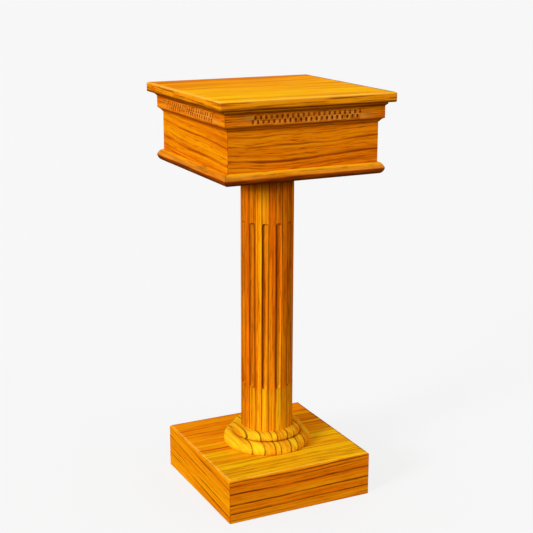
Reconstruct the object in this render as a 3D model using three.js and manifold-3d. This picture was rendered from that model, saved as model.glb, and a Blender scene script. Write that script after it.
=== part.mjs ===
// Pedestal column stand in oak: a square top on a moulded box, carried by a round fluted column
// of 24 staves that stands in a two-roll collar on a square plinth. Nothing on it moves.
// Millimetres, +Z up. The origin is on the floor under the middle of the stand, and -Y is the front.

import * as THREE from "three";
import { mergeVertices } from "three/addons/utils/BufferGeometryUtils.js";
import Module from "manifold-3d";

const wasm = await Module();
wasm.setup();

// Overall sizes
const HEIGHT = 914.4; // floor to the upper face of the top board
const TOP_WIDTH = 403.6; // the top board is square
const PLINTH_WIDTH = 346.6; // so is the plinth
const PLINTH_HEIGHT = 100.3;

// Joints
const GLUE_LINE = 0.3; // gap kept at every glued joint, mitre and stave
const ROD_CLEARANCE = 0.5; // around the tie rod, in wood and in the nuts

// Top board
const TOP_THICKNESS = 20.5;
const TOP_CORNER = 4; // radius of its corners in plan
const TOP_EASE = 3; // rounding of its upper and lower edges

// Box under the top board
const BOX_SETBACK = 28.1; // from the edge of the top board to the face of the box
const BOX_HEIGHT = 151.9;
const BOX_BOARD = 19;
const SOFFIT_BOARD = 19;
const SOFFIT_RECESS = 3; // how far the soffit lies above the lower edge of the box

// Crown moulding: a cove, a fascia with two rows of dentils, and a fillet under the top board
const CROWN_HEIGHT = 42.1;
const CROWN_PROJECTION = 10;
const COVE_HEIGHT = 8;
const COVE_BOW = 0.4; // how hollow it is: 0 is a straight slope and 1 a full quarter
const MOULDING_LIP = 1.5; // a moulding ends in a flat this wide instead of a feather edge
const FILLET_HEIGHT = 4;
const FILLET_PROJECTION = 4.5;
const DENTIL_PITCH = 12;
const DENTIL_GAP = 5.4;
const DENTIL_DEPTH = 3;
const DENTIL_HEIGHT = 7.6;
const DENTIL_ROW_SPACE = 1.8; // plain strip between the two rows
const DENTIL_END_BLOCK = 46; // plain fascia left at each corner of the box

// Trim round the lower edge of the box: an ovolo, a narrow nose, a weathered slope and a ledge
const TRIM_FOOT = 4.5; // projection at its lower edge
const TRIM_PROJECTION = 12;
const TRIM_OVOLO_HEIGHT = 11;
const TRIM_OVOLO_BOW = 0.5;
const TRIM_NOSE_HEIGHT = 1.6;
const TRIM_SLOPE_HEIGHT = 10.2;
const TRIM_SLOPE_BOW = 0.25;
const TRIM_SHOULDER = 5.5; // projection at the top of the slope
const TRIM_LEDGE_RISE = 1.5;

// Column: land staves and flute staves take turns, one flute stave on each face of the stand
const COLUMN_RADIUS = 59;
const FLUTES = 12;
const STAVE_THICKNESS = 19;
const FLUTE_DEPTH = 4.5;
const FLUTE_EDGE = 0.5; // wood left between a flute and the joint beside it
const PLAIN_FOOT = 144.7; // unfluted length above the plinth
const PLAIN_HEAD = 119; // unfluted length under the soffit
const PLUG_THICKNESS = 25;

// Collar: two rolls, turned from a blank of boards glued side by side and bored for the column
const COLLAR_LEFT_JOINT = -0.95; // place across the collar, as a share of the quirk's floor radius
const COLLAR_BORE_JOINTS = [-0.79, -0.4, -0.19, 0.24, 0.56, 0.96]; // as shares of the bore's radius
const LOWER_ROLL_PROJECTION = 40.4; // from the face of the column to the nose of the roll
const LOWER_ROLL_RADIUS = 17;
const LOWER_ROLL_HEIGHT = 24.7;
const UPPER_ROLL_PROJECTION = 21.4;
const UPPER_ROLL_RADIUS = 10.5;
const UPPER_ROLL_HEIGHT = 17.3;
const QUIRK_HEIGHT = 1.2; // the narrow groove between the rolls
const QUIRK_DEPTH = 4.5;

// Plinth: four mitred sides under a board with a mitred rim, so that only corners show a joint
const PLINTH_BOARD = 19;
const PLINTH_EASE = 3; // flat on its upper edge

// Tie rod with a flange nut at each end, which pulls box, column and plinth together
const ROD_RADIUS = 5;
const ROD_END = 6; // rod left past each nut
const NUT_ACROSS_FLATS = 15;
const NUT_HEIGHT = 10;
const FLANGE_RADIUS = 15;
const FLANGE_HEIGHT = 2.5;

// Steps of the round shapes
const CURVE_STEPS = 4; // on each quarter of a moulding's curve
const STAVE_ARC_STEPS = 3;
const FLUTE_ROUND_STEPS = 16;
const FLUTE_CAP_STEPS = 3;
const ROLL_STEPS = 7;
const COLLAR_STEPS = 60;
const ROD_STEPS = 24;

// Levels and widths that follow from the sizes above
const topUnderside = HEIGHT - TOP_THICKNESS;
const boxFace = TOP_WIDTH / 2 - BOX_SETBACK;
const boxBottom = topUnderside - BOX_HEIGHT;
const soffitBottom = boxBottom + SOFFIT_RECESS;
const soffitTop = soffitBottom + SOFFIT_BOARD;
const plinthFace = PLINTH_WIDTH / 2;
const plinthCeiling = PLINTH_HEIGHT - PLINTH_BOARD;
const columnLength = soffitBottom - PLINTH_HEIGHT;
const staveHalfAngle = Math.PI / FLUTES / 2;
const rodHoleRadius = ROD_RADIUS + ROD_CLEARANCE;

const stand = new THREE.Group();

// ---- Solids -----------------------------------------------------------------------------------

function toSolid(geometry) {
  const shared = geometry.clone();
  shared.deleteAttribute("normal");
  shared.deleteAttribute("uv");
  const merged = mergeVertices(shared, 1e-4);
  const mesh = new wasm.Mesh({
    numProp: 3,
    vertProperties: merged.attributes.position.array,
    triVerts: new Uint32Array(merged.index.array),
  });
  return new wasm.Manifold(mesh);
}

function toGeometry(solid) {
  const mesh = solid.getMesh();
  const geometry = new THREE.BufferGeometry();
  geometry.setAttribute("position", new THREE.BufferAttribute(mesh.vertProperties, 3));
  geometry.setIndex(new THREE.BufferAttribute(mesh.triVerts, 1));
  geometry.computeVertexNormals();
  return geometry;
}

function cut(geometry, cutters) {
  const removed = cutters.map(toSolid).reduce((joined, cutter) => joined.add(cutter));
  return toGeometry(toSolid(geometry).subtract(removed));
}

// A closed outline of [distance from the axis, height] points, turned about the vertical axis.
function turned(outline, steps, start = 0) {
  const points = outline.map(([radius, height]) => new THREE.Vector2(radius, height));
  return new THREE.LatheGeometry(points, steps, start).rotateX(Math.PI / 2);
}

// The same on a square: each point's distance is measured square to the four sides.
function turnedSquare(outline) {
  const corners = outline.map(([distance, height]) => [distance * Math.SQRT2, height]);
  return turned(corners, 4, Math.PI / 4);
}

function cylinder(radius, bottom, top, steps = ROD_STEPS) {
  const geometry = new THREE.CylinderGeometry(radius, radius, top - bottom, steps);
  return geometry.rotateX(Math.PI / 2).translate(0, 0, (bottom + top) / 2);
}

function block(left, right, front, back, bottom, top) {
  const geometry = new THREE.BoxGeometry(right - left, back - front, top - bottom);
  return geometry.translate((left + right) / 2, (front + back) / 2, (bottom + top) / 2);
}

// Carries an outline on to a point by a shallow curve that leans towards a corner: a bow of 0 is a
// straight line, and 1 a curve that leaves and arrives square to the corner's sides.
function bowTo(shape, end, corner, bow) {
  const middle = shape.currentPoint.clone().add(end).multiplyScalar(0.5);
  const control = middle.lerp(corner, bow);
  shape.quadraticCurveTo(control.x, control.y, end.x, end.y);
}

// One rail of a square frame. Its profile is drawn as [distance from the middle of the stand,
// height], it runs along the front, and both ends follow the 45-degree mitre.
function mitredRail(profile) {
  const settings = { depth: 2, bevelEnabled: false, curveSegments: CURVE_STEPS };
  const rail = new THREE.ExtrudeGeometry(profile, settings).translate(0, 0, -1);
  const points = rail.attributes.position;
  for (let i = 0; i < points.count; i++) {
    const distance = points.getX(i);
    const height = points.getY(i);
    const end = -Math.sign(points.getZ(i));
    points.setXYZ(i, end * (distance - GLUE_LINE), -distance, height);
  }
  rail.computeVertexNormals();
  return rail;
}

// ---- Placing ----------------------------------------------------------------------------------

function oak(colour) {
  return new THREE.MeshStandardMaterial({ color: colour, roughness: 0.42, metalness: 0 });
}

function steel() {
  return new THREE.MeshStandardMaterial({ color: 0xa9abad, roughness: 0.35, metalness: 1 });
}

function place(name, geometry, material, turn = 0) {
  const mesh = new THREE.Mesh(geometry, material);
  mesh.name = name;
  mesh.rotation.z = turn;
  stand.add(mesh);
}

// One copy on each side of the stand, anticlockwise from the front as seen from above.
function placeOnFourSides(name, geometry, colour) {
  ["front", "right", "back", "left"].forEach((side, i) => {
    place(`${name}_${side}`, geometry, oak(colour), (i * Math.PI) / 2);
  });
}

// ---- Top, box and mouldings -------------------------------------------------------------------

function topBoard() {
  const flat = TOP_WIDTH / 2 - TOP_EASE;
  const radius = TOP_CORNER - TOP_EASE;
  const centre = flat - radius;
  const shape = new THREE.Shape();
  for (let quarter = 0; quarter < 4; quarter++) {
    const start = (quarter * Math.PI) / 2;
    const x = Math.SQRT2 * centre * Math.cos(start + Math.PI / 4);
    const y = Math.SQRT2 * centre * Math.sin(start + Math.PI / 4);
    shape.absarc(x, y, radius, start, start + Math.PI / 2, false);
  }
  const board = new THREE.ExtrudeGeometry(shape, {
    depth: TOP_THICKNESS - 2 * TOP_EASE,
    bevelThickness: TOP_EASE,
    bevelSize: TOP_EASE,
    bevelSegments: CURVE_STEPS,
    curveSegments: CURVE_STEPS,
  });
  return board.translate(0, 0, topUnderside + TOP_EASE);
}

function boardProfile(face, thickness, bottom, top) {
  const shape = new THREE.Shape();
  shape.moveTo(face - thickness, bottom);
  shape.lineTo(face, bottom);
  shape.lineTo(face, top);
  shape.lineTo(face - thickness, top);
  return shape;
}

function soffitBoard() {
  const reach = boxFace - BOX_BOARD - GLUE_LINE;
  const board = block(-reach, reach, -reach, reach, soffitBottom, soffitTop);
  return cut(board, [cylinder(rodHoleRadius, soffitBottom - 1, soffitTop + 1)]);
}

function crownProfile() {
  const back = boxFace + GLUE_LINE;
  const fascia = boxFace + CROWN_PROJECTION;
  const fillet = fascia + FILLET_PROJECTION;
  const bottom = topUnderside - CROWN_HEIGHT;
  const coveTop = bottom + COVE_HEIGHT;
  const lip = boxFace + MOULDING_LIP;
  const filletBottom = topUnderside - FILLET_HEIGHT;
  const shape = new THREE.Shape();
  shape.moveTo(back, topUnderside);
  shape.lineTo(back, bottom);
  shape.lineTo(lip, bottom);
  bowTo(shape, new THREE.Vector2(fascia, coveTop), new THREE.Vector2(lip, coveTop), COVE_BOW);
  shape.lineTo(fascia, filletBottom - FILLET_PROJECTION);
  shape.lineTo(fillet, filletBottom);
  shape.lineTo(fillet, topUnderside);
  return shape;
}

// The spaces between the dentils: two rows, one above the other, half a pitch apart.
function dentilSpaces() {
  const fascia = boxFace + CROWN_PROJECTION;
  const fasciaBottom = topUnderside - CROWN_HEIGHT + COVE_HEIGHT;
  const fasciaTop = topUnderside - FILLET_HEIGHT - FILLET_PROJECTION;
  const middle = (fasciaBottom + fasciaTop) / 2;
  const carved = 2 * (fascia - DENTIL_END_BLOCK) - DENTIL_PITCH;
  const count = Math.floor(carved / DENTIL_PITCH);
  const spaces = [];
  for (const row of [-1, 1]) {
    const height = middle + (row * (DENTIL_HEIGHT + DENTIL_ROW_SPACE)) / 2;
    for (let i = 0; i < count; i++) {
      const along = (i - (count - 1) / 2 + row / 4) * DENTIL_PITCH;
      const space = new THREE.BoxGeometry(DENTIL_GAP, 2 * DENTIL_DEPTH, DENTIL_HEIGHT);
      spaces.push(space.translate(along, -fascia, height));
    }
  }
  return spaces;
}

function trimProfile() {
  const back = boxFace + GLUE_LINE;
  const nose = boxFace + TRIM_PROJECTION;
  const shoulder = boxFace + TRIM_SHOULDER;
  const noseBottom = boxBottom + TRIM_OVOLO_HEIGHT;
  const noseTop = noseBottom + TRIM_NOSE_HEIGHT;
  const slopeTop = noseTop + TRIM_SLOPE_HEIGHT;
  const top = slopeTop + TRIM_LEDGE_RISE;
  const shape = new THREE.Shape();
  shape.moveTo(back, boxBottom);
  shape.lineTo(boxFace + TRIM_FOOT, boxBottom);
  bowTo(shape, new THREE.Vector2(nose, noseBottom), new THREE.Vector2(nose, boxBottom), TRIM_OVOLO_BOW);
  shape.lineTo(nose, noseTop);
  bowTo(shape, new THREE.Vector2(shoulder, slopeTop), new THREE.Vector2(nose, slopeTop), TRIM_SLOPE_BOW);
  shape.lineTo(boxFace + MOULDING_LIP, top);
  shape.lineTo(back, top);
  return shape;
}

// ---- Column -----------------------------------------------------------------------------------

// A stave centred on +X: round outside, flat inside, with the glue line's gap along both edges.
function stave() {
  const outerHalfAngle = staveHalfAngle - Math.asin(GLUE_LINE / 2 / COLUMN_RADIUS);
  const inner = COLUMN_RADIUS - STAVE_THICKNESS;
  const innerHalfWidth = inner * Math.tan(staveHalfAngle) - GLUE_LINE / 2 / Math.cos(staveHalfAngle);
  const shape = new THREE.Shape();
  shape.moveTo(inner, innerHalfWidth);
  shape.lineTo(inner, -innerHalfWidth);
  shape.absarc(0, 0, COLUMN_RADIUS, -outerHalfAngle, outerHalfAngle, false);
  const settings = { depth: columnLength, bevelEnabled: false, curveSegments: STAVE_ARC_STEPS };
  return new THREE.ExtrudeGeometry(shape, settings).translate(0, 0, PLINTH_HEIGHT);
}

// The path of a round-nosed cutter along a flute: its surface crosses the stave's face at the
// flute's edges, and the round ends are where it is lowered and lifted.
function fluteCutter() {
  const bottom = PLINTH_HEIGHT + PLAIN_FOOT;
  const top = soffitBottom - PLAIN_HEAD;
  const staveHalfWidth = COLUMN_RADIUS * Math.sin(staveHalfAngle) - GLUE_LINE / 2;
  const halfWidth = staveHalfWidth - FLUTE_EDGE;
  const radius = (halfWidth ** 2 + FLUTE_DEPTH ** 2) / (2 * FLUTE_DEPTH);
  const travel = top - bottom - 2 * halfWidth;
  const cutter = new THREE.CapsuleGeometry(radius, travel, FLUTE_CAP_STEPS, FLUTE_ROUND_STEPS);
  cutter.rotateX(Math.PI / 2);
  return cutter.translate(COLUMN_RADIUS + radius - FLUTE_DEPTH, 0, (bottom + top) / 2);
}

function addStaves() {
  const landStave = stave();
  const fluteStave = cut(stave(), [fluteCutter()]);
  for (let i = 0; i < FLUTES; i++) {
    const number = String(i + 1).padStart(2, "0");
    const turn = (2 * Math.PI * i) / FLUTES - Math.PI / 2;
    place(`flute_stave_${number}`, fluteStave, oak(0xe8920f), turn);
    place(`land_stave_${number}`, landStave, oak(0xd97c08), turn + 2 * staveHalfAngle);
  }
}

// The disc inside the head of the hollow column that centres it on the tie rod. The collar does
// the same for the foot, from outside.
function headPlug() {
  const radius = COLUMN_RADIUS - STAVE_THICKNESS - GLUE_LINE;
  const outline = [
    [rodHoleRadius, soffitBottom - PLUG_THICKNESS],
    [radius, soffitBottom - PLUG_THICKNESS],
    [radius, soffitBottom],
    [rodHoleRadius, soffitBottom],
    [rodHoleRadius, soffitBottom - PLUG_THICKNESS],
  ];
  return turned(outline, ROD_STEPS);
}

// ---- Collar -----------------------------------------------------------------------------------

// A roll's outline from its lower end up to its crown, as [distance from the axis, height] points.
function roll(projection, radius, height, top) {
  const centre = COLUMN_RADIUS + projection - radius;
  const lowerAngle = -Math.asin(height / radius - 1);
  const arc = new THREE.Path();
  arc.absarc(centre, top - radius, radius, lowerAngle, Math.PI / 2, false);
  return arc.getPoints(ROLL_STEPS).map((point) => [point.x, point.y]);
}

// The boards lie front to back and differ in width. The bore parts each middle board into a front
// and a back block, while the boards beside the column run through.
function addCollar() {
  const lowerTop = PLINTH_HEIGHT + LOWER_ROLL_HEIGHT;
  const upperBottom = lowerTop + QUIRK_HEIGHT;
  const upperTop = upperBottom + UPPER_ROLL_HEIGHT;
  const lowerRoll = roll(LOWER_ROLL_PROJECTION, LOWER_ROLL_RADIUS, LOWER_ROLL_HEIGHT, lowerTop);
  const upperRoll = roll(UPPER_ROLL_PROJECTION, UPPER_ROLL_RADIUS, UPPER_ROLL_HEIGHT, upperTop);
  const quirkFloor = upperRoll[0][0] - QUIRK_DEPTH;
  const bore = COLUMN_RADIUS + GLUE_LINE;
  const boreCorner = bore / Math.cos(Math.PI / COLLAR_STEPS);
  const outline = [
    [boreCorner, PLINTH_HEIGHT],
    ...lowerRoll,
    [quirkFloor, lowerTop],
    [quirkFloor, upperBottom],
    ...upperRoll,
    [boreCorner, upperTop],
    [boreCorner, PLINTH_HEIGHT],
  ];
  const ring = toSolid(turned(outline, COLLAR_STEPS));
  const reach = COLUMN_RADIUS + LOWER_ROLL_PROJECTION;
  const joints = [
    -reach,
    COLLAR_LEFT_JOINT * quirkFloor,
    ...COLLAR_BORE_JOINTS.map((share) => share * bore),
    reach,
  ];
  const addPiece = (name, left, right, front, back) => {
    const slot = block(left, right, front, back, 0, HEIGHT);
    place(name, toGeometry(ring.intersect(toSolid(slot))), oak(0xf0a81c));
  };
  for (let i = 0; i < joints.length - 1; i++) {
    const number = i + 1;
    const left = joints[i] + GLUE_LINE / 2;
    const right = joints[i + 1] - GLUE_LINE / 2;
    if (Math.max(-left, right) < bore) {
      addPiece(`collar_front_block_${number}`, left, right, -HEIGHT, 0);
      addPiece(`collar_back_block_${number}`, left, right, 0, HEIGHT);
    } else {
      addPiece(`collar_side_board_${number}`, left, right, -HEIGHT, HEIGHT);
    }
  }
}

// ---- Plinth -----------------------------------------------------------------------------------

// A side's upper edge is mitred against the board on top, and the flat that eases their shared
// edge is half on the side and half on the board.
function plinthSideProfile() {
  const shape = new THREE.Shape();
  const inner = plinthFace - PLINTH_BOARD;
  shape.moveTo(inner, 0);
  shape.lineTo(plinthFace, 0);
  shape.lineTo(plinthFace, PLINTH_HEIGHT - PLINTH_EASE);
  shape.lineTo(plinthFace - (PLINTH_EASE - GLUE_LINE) / 2, PLINTH_HEIGHT - (PLINTH_EASE + GLUE_LINE) / 2);
  shape.lineTo(inner, plinthCeiling - GLUE_LINE);
  return shape;
}

function plinthTop() {
  const board = turnedSquare([
    [0, plinthCeiling],
    [plinthFace - PLINTH_BOARD, plinthCeiling],
    [plinthFace - PLINTH_EASE / 2, PLINTH_HEIGHT - PLINTH_EASE / 2],
    [plinthFace - PLINTH_EASE, PLINTH_HEIGHT],
    [0, PLINTH_HEIGHT],
  ]);
  return cut(board, [cylinder(rodHoleRadius, plinthCeiling - 1, PLINTH_HEIGHT + 1)]);
}

// ---- Tie rod ----------------------------------------------------------------------------------

// A flange nut lying on a seat; facing is 1 where the nut stands up from it and -1 where it hangs.
function flangeNut(seat, facing) {
  const level = (distance) => seat + facing * distance;
  const between = (a, b) => [Math.min(a, b), Math.max(a, b)];
  const cornerRadius = NUT_ACROSS_FLATS / Math.sqrt(3);
  const flange = cylinder(FLANGE_RADIUS, ...between(seat, level(FLANGE_HEIGHT)));
  const hexagon = cylinder(cornerRadius, ...between(seat, level(NUT_HEIGHT)), 6);
  const nut = toGeometry(toSolid(flange).add(toSolid(hexagon)));
  return cut(nut, [cylinder(rodHoleRadius, ...between(level(-1), level(NUT_HEIGHT + 1)))]);
}

function tieRod() {
  const reach = NUT_HEIGHT + ROD_END;
  return cylinder(ROD_RADIUS, plinthCeiling - reach, soffitTop + reach);
}

// ---- The stand --------------------------------------------------------------------------------

place("top_board", topBoard(), oak(0xf2a614));
placeOnFourSides("crown_moulding", cut(mitredRail(crownProfile()), dentilSpaces()), 0xdb820c);
const boxSideProfile = boardProfile(boxFace, BOX_BOARD, boxBottom, topUnderside);
placeOnFourSides("box_side", mitredRail(boxSideProfile), 0xe08a10);
placeOnFourSides("box_trim", mitredRail(trimProfile()), 0xe8960f);
place("soffit_board", soffitBoard(), oak(0xc8740a));

addStaves();
place("column_head_plug", headPlug(), oak(0xc8740a));
addCollar();

place("plinth_top", plinthTop(), oak(0xee9c12));
placeOnFourSides("plinth_side", mitredRail(plinthSideProfile()), 0xe0840c);

place("tie_rod", tieRod(), steel());
place("flange_nut_upper", flangeNut(soffitTop, 1), steel());
place("flange_nut_lower", flangeNut(plinthCeiling, -1), steel());

export default stand;
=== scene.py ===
"""Looks of the oak pedestal column stand: eased boards, mouldings, fluted staves and a turned
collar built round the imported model, with oak finishes, a pale floor, studio light and a camera."""

import math
import random

import bmesh
import bpy
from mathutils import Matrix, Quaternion, Vector


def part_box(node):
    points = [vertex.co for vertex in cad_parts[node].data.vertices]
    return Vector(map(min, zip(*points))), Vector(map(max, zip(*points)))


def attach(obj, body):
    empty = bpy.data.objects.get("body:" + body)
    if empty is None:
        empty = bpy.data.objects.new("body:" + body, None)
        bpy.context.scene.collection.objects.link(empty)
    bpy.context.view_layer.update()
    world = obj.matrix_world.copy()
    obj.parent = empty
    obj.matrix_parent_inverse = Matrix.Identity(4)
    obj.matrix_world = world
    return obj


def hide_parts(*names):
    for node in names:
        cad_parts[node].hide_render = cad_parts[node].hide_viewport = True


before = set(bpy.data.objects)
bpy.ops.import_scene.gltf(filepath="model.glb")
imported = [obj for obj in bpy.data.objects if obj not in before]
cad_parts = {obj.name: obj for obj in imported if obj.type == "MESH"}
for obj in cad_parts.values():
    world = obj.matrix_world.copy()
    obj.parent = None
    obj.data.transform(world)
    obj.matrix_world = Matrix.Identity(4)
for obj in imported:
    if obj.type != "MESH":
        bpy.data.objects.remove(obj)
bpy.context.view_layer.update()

MM = 0.001
SIDES = ("front", "right", "back", "left")

# ---- Sizes, read from the frame where a node shows them, and in metres --------------------------

top_low, top_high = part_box("top_board")
side_low, side_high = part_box("box_side_front")
trim_low, trim_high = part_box("box_trim_front")
crown_low, crown_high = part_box("crown_moulding_front")
stave_low, stave_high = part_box("flute_stave_01")
foot_low, foot_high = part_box("plinth_side_front")

GLUE_LINE = 0.3 * MM
CLOSED_JOINT = 0.02 * MM  # a mitre closes on its inner side, so that no light shows through it
MITRE_FACE = 2 * MM  # how far in from the outer face a mitre keeps its glue line

TOP_HALF = top_high.x
TOP_CORNER = 4 * MM
TOP_EASE = 3 * MM
TOP_EASE_STEPS = 6
TOP_SHADE_REACH = 3 * MM  # how far up the top board's edges the painted shade from below reaches
TOP_HIGHLIGHT_REACH = 2 * MM  # how far down those edges the painted highlight reaches
LEAST_CORNER = 0.2 * MM
HIGHLIGHT_BAND = 3 * MM  # how far the painted highlight of an upper edge reaches onto a board's face

BOX_FACE = -side_low.y
BOX_BOARD = side_high.y - side_low.y
BOX_EASE = 0.5 * MM
MOULDING_LIP = 1.5 * MM
CROWN_EASE = 0.25 * MM
CROWN_FASCIA = BOX_FACE + 10 * MM
CROWN_SHADOW = 5 * MM  # how far the painted shadow under the crown reaches down the box
COVE_HEIGHT = 8 * MM
COVE_BOW = 0.4
FILLET_HEIGHT = 4 * MM
FILLET_PROJECTION = 4.5 * MM
DENTIL_PITCH = 12 * MM
DENTIL_GAP = 5.4 * MM
DENTIL_DEPTH = 3 * MM
DENTIL_HEIGHT = 7.6 * MM
DENTIL_ROW_SPACE = 1.8 * MM
DENTIL_END_BLOCK = 46 * MM
TRIM_FOOT = 4.5 * MM
TRIM_PROJECTION = 12 * MM
TRIM_OVOLO_HEIGHT = 11 * MM
TRIM_OVOLO_BOW = 0.5
TRIM_NOSE_HEIGHT = 1.6 * MM
TRIM_SLOPE_HEIGHT = 10.2 * MM
TRIM_SLOPE_BOW = 0.25
TRIM_SHOULDER = 5.5 * MM
TRIM_EASE = 0.3 * MM
TRIM_SHADE = 4 * MM  # how far the painted shade in the crease above the trim reaches up the box
BOW_STEPS = 10  # along the curve of a moulding

PLINTH_FACE = -foot_low.y
PLINTH_TOP = stave_low.z
PLINTH_BOARD = 19 * MM
PLINTH_EASE = 3 * MM
PLINTH_SIDE_EASE = 0.5 * MM
PLINTH_CORNER = 0.8 * MM
PLINTH_SHADE = 3 * MM  # how far the painted shade just above the floor reaches up the plinth

COLUMN_HEAD = stave_high.z
COLUMN_RADIUS = -stave_low.y
FLUTES = 12
STAVE_HALF_ANGLE = math.pi / FLUTES / 2
STAVE_EDGE = STAVE_HALF_ANGLE - math.asin(GLUE_LINE / 2 / COLUMN_RADIUS)
STAVE_THICKNESS = 19 * MM
STAVE_EASE = 0.3 * MM
STAVE_STEPS = 10  # across the outer face
FLUTE_DEPTH = 4.5 * MM
FLUTE_EDGE = 0.5 * MM  # the flat left between a flute and the stave's joint
FLUTE_FOOT = PLINTH_TOP + 144.7 * MM
FLUTE_HEAD = COLUMN_HEAD - 119 * MM
FLUTE_HALF = COLUMN_RADIUS * math.sin(STAVE_HALF_ANGLE) - GLUE_LINE / 2 - FLUTE_EDGE
FLUTE_NOSE = (FLUTE_HALF**2 + FLUTE_DEPTH**2) / (2 * FLUTE_DEPTH)  # radius of the cutter's nose
FLUTE_AXIS = COLUMN_RADIUS + FLUTE_NOSE - FLUTE_DEPTH  # how far out the cutter's nose is centred
FLUTE_END_STEPS = 8
FLUTE_STEPS = 8  # along a flute, between its ends
FLUTE_SHADE = 0.15  # how strong a flute's painted shade is, where it faces the light
FLUTE_SHADE_GAIN = 2.2  # how much more painted shade for what the flute's slope turns away from that light
FLUTE_SHADE_MOST = 1.2
HEAD_SHADOW = 2.4  # how strong the painted shadow on the column's head is, right under the box
HEAD_SHADOW_FADE = 22 * MM  # how far down that painted shadow loses 1
PAINTED_LIGHT_FROM = math.radians(-90 - 45)  # the direction, round from +X, of the light that the flutes' painted shade is set against

LOWER_ROLL = {"reach": 40.4 * MM, "radius": 17 * MM, "height": 24.7 * MM}
UPPER_ROLL = {"reach": 21.4 * MM, "radius": 10.5 * MM, "height": 17.3 * MM}
QUIRK_HEIGHT = 1.2 * MM
QUIRK_DEPTH = 4.5 * MM
QUIRK_FLOOR = 0.4 * MM  # how near the bottom of the quirk its painted shade lies
COLLAR_SHADE = 0.5 * MM  # how far the painted shade where the collar meets the plinth reaches up it
COLLAR_EASE = 0.2 * MM
COLLAR_STEPS = 180
BORE_SIDES = 60  # as the collar's bore was packed
ROLL_STEPS = 14
SHORT_EDGE = 0.45 * MM  # a collar edge shorter than this, beside a joint, is welded into the joint
JOINT_STEP = 0.3 * MM  # points on a collar joint are at least this far apart

FAR = 1.0  # a distance to a joint, for a piece that has none there
SAME_POINT = 0.01 * MM
SHARP = math.radians(32)  # edges that turn more than this stay sharp, or are eased

# ---- Shader writing -----------------------------------------------------------------------------


class Value:
    """A node's output. Arithmetic on it adds Math nodes beside that node."""

    def __init__(self, shader, output):
        self.shader = shader
        self.output = output

    def maths(self, operation, first, second):
        return self.shader.node("Math", {"operation": operation}, {0: first, 1: second})

    def __add__(self, other):
        return self.maths("ADD", self, other)

    def __radd__(self, other):
        return self.maths("ADD", other, self)

    def __sub__(self, other):
        return self.maths("SUBTRACT", self, other)

    def __rsub__(self, other):
        return self.maths("SUBTRACT", other, self)

    def __mul__(self, other):
        return self.maths("MULTIPLY", self, other)

    def __rmul__(self, other):
        return self.maths("MULTIPLY", other, self)

    def __truediv__(self, other):
        return self.maths("DIVIDE", self, other)

    def __mod__(self, other):
        return self.maths("FLOORED_MODULO", self, other)

    def least(self, other):
        return self.maths("MINIMUM", self, other)

    def clamped(self):
        """Between 0 and 1."""
        return self.shader.node("Clamp", None, {"Value": self})


class Shader:
    """A node tree, written one node at a time."""

    def __init__(self, tree):
        self.tree = tree
        tree.nodes.clear()

    def node(self, kind, settings=None, sockets=None, output=0):
        made = self.tree.nodes.new("ShaderNode" + kind)
        for setting, value in (settings or {}).items():
            if setting == "stops":
                set_stops(made.color_ramp, value)
            else:
                setattr(made, setting, value)
        for socket, value in (sockets or {}).items():
            if isinstance(value, Value):
                self.tree.links.new(value.output, made.inputs[socket])
            else:
                made.inputs[socket].default_value = value
        return Value(self, made.outputs[output]) if made.outputs else None

    def parts(self, vector):
        """A vector's three numbers."""
        split = self.node("SeparateXYZ", None, {0: vector})
        return [Value(self, output) for output in split.output.node.outputs]

    def attribute(self, name):
        """The three numbers that a mesh holds under a name."""
        return self.parts(self.node("Attribute", {"attribute_name": name}, None, "Vector"))

    def joined(self, x, y, z):
        return self.node("CombineXYZ", None, {"X": x, "Y": y, "Z": z})

    def noise(self, vector, scale, detail, roughness=0.5):
        """Noise with so many features to the metre along each axis of the vector."""
        stretched = self.node("VectorMath", {"operation": "MULTIPLY"}, {0: vector, 1: scale})
        sockets = {"Vector": stretched, "Scale": 1.0, "Detail": detail, "Roughness": roughness}
        return self.node("TexNoise", None, sockets)

    def ramp(self, value, stops, curve="LINEAR"):
        """stops are (position, level) for a grey ramp."""
        grey = [(position, (level, level, level, 1)) for position, level in stops]
        return self.node("ValToRGB", {"stops": (curve, grey)}, {"Fac": value})

    def blend(self, factor, first, second):
        settings = {"data_type": "RGBA", "blend_type": "MIX"}
        return self.node("Mix", settings, {0: factor, 6: first, 7: second}, 2)

    def bright(self, colour, factor):
        return self.node("VectorMath", {"operation": "SCALE"}, {0: colour, "Scale": factor})

    def capped(self, colour, most):
        return self.node("VectorMath", {"operation": "MINIMUM"}, {0: colour, 1: (most, most, most)})

    def finish(self, surface):
        """Ends a material's tree in one shader with these sockets."""
        self.node("OutputMaterial", None, {"Surface": self.node("BsdfPrincipled", None, surface)})


def set_stops(ramp, described):
    """described is (interpolation, [(position, colour)])."""
    ramp.interpolation, stops = described
    for _ in range(len(stops) - len(ramp.elements)):
        ramp.elements.new(1)
    for element, (position, colour) in zip(ramp.elements, stops):
        element.position = position
        element.color = colour


def stain(red, green, blue):
    """A colour written as on screen, 0 to 255, for a shader."""

    def linear(level):
        level /= 255
        return level / 12.92 if level <= 0.04045 else ((level + 0.055) / 1.055) ** 2.4

    return (linear(red), linear(green), linear(blue), 1.0)


def new_material(name):
    material = bpy.data.materials.new(name)
    material.use_nodes = True
    return material, Shader(material.node_tree)


# ---- Oak ----------------------------------------------------------------------------------------

SEAM = stain(96, 36, 4)
# The colour of painted highlights on edges and faces that catch the light.
PAINTED_HIGHLIGHT = stain(255, 188, 72)
UMBER = stain(138, 52, 4)
BARK = stain(86, 30, 3)
BRIGHTEST = 0.97
GRAIN_RELIEF = 0.25 * MM
VARNISH_SPECULAR = 0.0006  # the varnish is dull with age
HIDDEN_SEED = 0.31


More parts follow.
